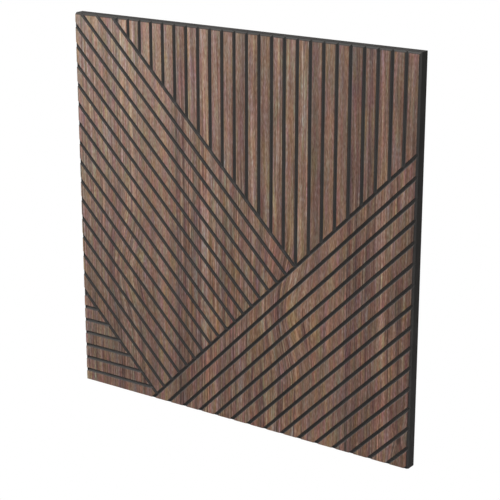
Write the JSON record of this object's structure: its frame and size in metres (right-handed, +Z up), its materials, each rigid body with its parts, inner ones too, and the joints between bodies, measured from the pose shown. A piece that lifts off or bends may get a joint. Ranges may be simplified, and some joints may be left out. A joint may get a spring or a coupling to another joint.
{
  "type": "slatted wall panel",
  "caption": "Square decorative wall panel: walnut veneer slats that run upright, slanted and level, parted by V grooves cut into a black board, with a flat back that is fixed to a wall.",
  "frame": {"origin": "middle of the flat back face, which lies against the wall", "axes": "+Z up; -Y out of the wall, where the slats face; +X to the right of someone who faces the panel"},
  "size_m": [0.6, 0.018, 0.6],
  "materials": {
    "walnut_veneer": "matt oiled walnut veneer, grain upright across all slats",
    "black_board": "matt black through-dyed fibreboard, milled"
  },
  "bodies": {
    "root": {"grooved_core": "black_board", "veneer_falling_01": "walnut_veneer", "veneer_falling_02": "walnut_veneer", "veneer_falling_03": "walnut_veneer", "veneer_falling_04": "walnut_veneer", "veneer_falling_05": "walnut_veneer", "veneer_falling_06": "walnut_veneer", "veneer_falling_07": "walnut_veneer", "veneer_falling_08": "walnut_veneer", "veneer_falling_09": "walnut_veneer", "veneer_falling_10": "walnut_veneer", "veneer_falling_11": "walnut_veneer", "veneer_falling_12": "walnut_veneer", "veneer_falling_13": "walnut_veneer", "veneer_falling_14": "walnut_veneer", "veneer_falling_15": "walnut_veneer", "veneer_falling_16": "walnut_veneer", "veneer_falling_17": "walnut_veneer", "veneer_level_03": "walnut_veneer", "veneer_level_04": "walnut_veneer", "veneer_level_05": "walnut_veneer", "veneer_level_06": "walnut_veneer", "veneer_level_07": "walnut_veneer", "veneer_level_08": "walnut_veneer", "veneer_rising_01": "walnut_veneer", "veneer_rising_02": "walnut_veneer", "veneer_rising_03": "walnut_veneer", "veneer_rising_04": "walnut_veneer", "veneer_rising_05": "walnut_veneer", "veneer_rising_06": "walnut_veneer", "veneer_rising_07": "walnut_veneer", "veneer_rising_08": "walnut_veneer", "veneer_rising_09": "walnut_veneer", "veneer_rising_10": "walnut_veneer", "veneer_rising_11": "walnut_veneer", "veneer_rising_12": "walnut_veneer", "veneer_rising_13": "walnut_veneer", "veneer_rising_14": "walnut_veneer", "veneer_upright_01": "walnut_veneer", "veneer_upright_02": "walnut_veneer", "veneer_upright_03": "walnut_veneer", "veneer_upright_04": "walnut_veneer", "veneer_upright_05": "walnut_veneer", "veneer_upright_06": "walnut_veneer", "veneer_upright_07": "walnut_veneer", "veneer_upright_08": "walnut_veneer", "veneer_upright_09": "walnut_veneer", "veneer_upright_10": "walnut_veneer", "veneer_upright_11": "walnut_veneer", "veneer_upright_12": "walnut_veneer", "veneer_upright_13": "walnut_veneer", "veneer_upright_14": "walnut_veneer", "veneer_upright_15": "walnut_veneer", "veneer_upright_16": "walnut_veneer", "veneer_upright_17": "walnut_veneer", "veneer_upright_18": "walnut_veneer", "veneer_upright_19": "walnut_veneer", "veneer_upright_20": "walnut_veneer", "veneer_upright_21": "walnut_veneer", "veneer_upright_22": "walnut_veneer"}
  },
  "joints": []
}
